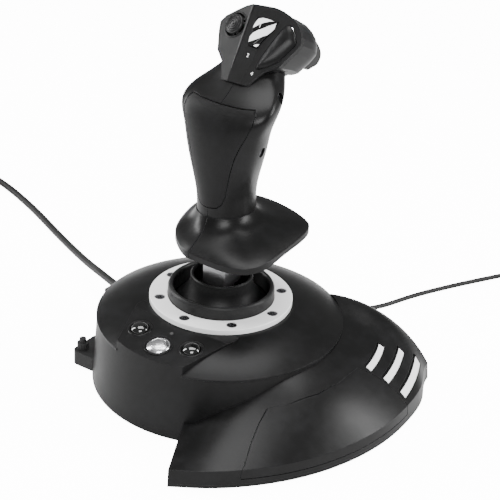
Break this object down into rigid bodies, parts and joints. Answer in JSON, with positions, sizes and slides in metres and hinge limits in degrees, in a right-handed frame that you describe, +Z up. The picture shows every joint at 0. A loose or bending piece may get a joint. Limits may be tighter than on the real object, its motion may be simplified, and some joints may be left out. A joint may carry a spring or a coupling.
{
  "type": "flight joystick",
  "caption": "Desktop flight joystick with a tilting and twisting grip, hand rest, round base with side wing, console buttons, trigger, hat and two leads",
  "frame": {"origin": "on the table under the axis of the stick", "axes": "+Z up along the stick, +Y away from the user, +X to the user's right"},
  "size_m": [0.5342, 0.4242, 0.2517],
  "materials": {
    "shell": "satin black moulded ABS",
    "cover": "satin black moulded ABS",
    "ring": "satin white",
    "screws": "dark zinc",
    "boot": "matt black rubber",
    "body": "satin black moulded ABS",
    "inserts": "white",
    "feet": "grey-black rubber",
    "steel": "plain steel",
    "gloss": "gloss black",
    "lens": "dark lens",
    "board": "green board",
    "gimbal": "grey acetal",
    "sensor": "black",
    "spring": "spring steel",
    "cable": "soft black PVC",
    "plated": "nickel plated",
    "shaft": "grey acetal",
    "hatcap": "satin black",
    "mirrored": "black chrome",
    "clear": "silver-backed clear",
    "knob": "black"
  },
  "bodies": {
    "base": {"base_shell": "shell", "top_cover": "cover", "trim_ring": "ring", "ring_screws": "screws", "boot_collar": "boot", "wing": "body", "wing_panel": "body", "slot_inserts": "inserts", "wing_bottom": "body", "base_plate": "body", "base_screws": "screws", "base_feet": "feet", "ballast": "steel", "dock_block": "body", "guide_bezel": "gloss", "status_lens": "lens", "console_board": "board", "main_board": "board", "gimbal_frame": "gimbal", "roll_sensor": "sensor", "centre_spring": "spring", "link_gland": "body", "link_lead": "cable", "link_coil": "cable", "link_plug": "body", "usb_gland": "body", "usb_lead": "cable", "usb_coil": "cable", "usb_plug": "body", "usb_plug_shell": "plated"},
    "roll_ring": {"roll_ring": "gimbal", "pitch_sensor": "sensor"},
    "pitch_hub": {"pitch_hub": "gimbal", "spring_cup": "gimbal", "boot_bell": "boot", "bell_carrier": "gimbal"},
    "stick": {"stick_shaft": "shaft", "grip_right": "body", "grip_left": "body", "palm_pad": "body", "grip_screws": "screws", "head_shell": "body", "head_plate": "body", "head_board": "board", "hat_socket": "body", "trigger_pin": "spring", "trigger_spring": "spring"},
    "hat_rocker": {"hat_rocker": "body"},
    "hat": {"hat": "hatcap"},
    "centre_button": {"centre_button": "mirrored"},
    "side_button": {"side_button": "gloss"},
    "trigger": {"trigger": "body"},
    "guide_button": {"guide_button": "clear"},
    "menu_button_left": {"menu_button_left": "gloss"},
    "menu_button_right": {"menu_button_right": "gloss"},
    "dock_screw": {"dock_screw": "knob"}
  },
  "joints": [
    {"name": "stick_roll", "type": "hinge", "parent": "base", "child": "roll_ring", "pos_m": [0, 0, 0.036], "axis": [0, 1, 0], "range_deg": [-11, 11], "stiffness_Nm_per_rad": 1.2, "deforming": ["centre_spring"]},
    {"name": "stick_pitch", "type": "hinge", "parent": "roll_ring", "child": "pitch_hub", "pos_m": [0, 0, 0.036], "axis": [1, 0, 0], "range_deg": [-11, 11], "stiffness_Nm_per_rad": 1.2, "deforming": ["centre_spring"]},
    {"name": "stick_twist", "type": "hinge", "parent": "pitch_hub", "child": "stick", "pos_m": [0, 0, 0.036], "axis": [0, 0, 1], "range_deg": [-15, 15], "stiffness_Nm_per_rad": 0.35},
    {"name": "trigger_pull", "type": "hinge", "parent": "stick", "child": "trigger", "pos_m": [0, 0.047, 0.226], "axis": [-1, 0, 0], "range_deg": [0, 10], "stiffness_Nm_per_rad": 0.6, "springref_deg": -20.05, "deforming": ["trigger_spring"]},
    {"name": "hat_side", "type": "hinge", "parent": "stick", "child": "hat_rocker", "pos_m": [-0.01495, 0.03162, 0.23392], "axis": [0.9705, -0.189, 0.1497], "range_deg": [-6, 6], "stiffness_Nm_per_rad": 0.05},
    {"name": "hat_fore", "type": "hinge", "parent": "hat_rocker", "child": "hat", "pos_m": [-0.01495, 0.03162, 0.23392], "axis": [0, 0.6209, 0.7839], "range_deg": [-6, 6], "stiffness_Nm_per_rad": 0.05},
    {"name": "centre_press", "type": "slide", "parent": "stick", "child": "centre_button", "axis": [0, 0.7839, -0.6209], "range_m": [0, 0.0012], "stiffness_N_per_m": 900, "springref_m": -0.001},
    {"name": "side_press", "type": "slide", "parent": "stick", "child": "side_button", "axis": [0, 0.7839, -0.6209], "range_m": [0, 0.0012], "stiffness_N_per_m": 900, "springref_m": -0.001},
    {"name": "guide_press", "type": "slide", "parent": "base", "child": "guide_button", "axis": [0, 0.1867, -0.9824], "range_m": [0, 0.0008], "stiffness_N_per_m": 900, "springref_m": -0.001},
    {"name": "menu_left_press", "type": "slide", "parent": "base", "child": "menu_button_left", "axis": [0, 0.1867, -0.9824], "range_m": [0, 0.0008], "stiffness_N_per_m": 900, "springref_m": -0.001},
    {"name": "menu_right_press", "type": "slide", "parent": "base", "child": "menu_button_right", "axis": [0, 0.1867, -0.9824], "range_m": [0, 0.0008], "stiffness_N_per_m": 900, "springref_m": -0.001},
    {"name": "dock_screw_turn", "type": "hinge", "parent": "base", "child": "dock_screw", "pos_m": [-0.0802, -0.0446, 0.0115], "axis": [0, 0, 1], "continuous": true}
  ]
}
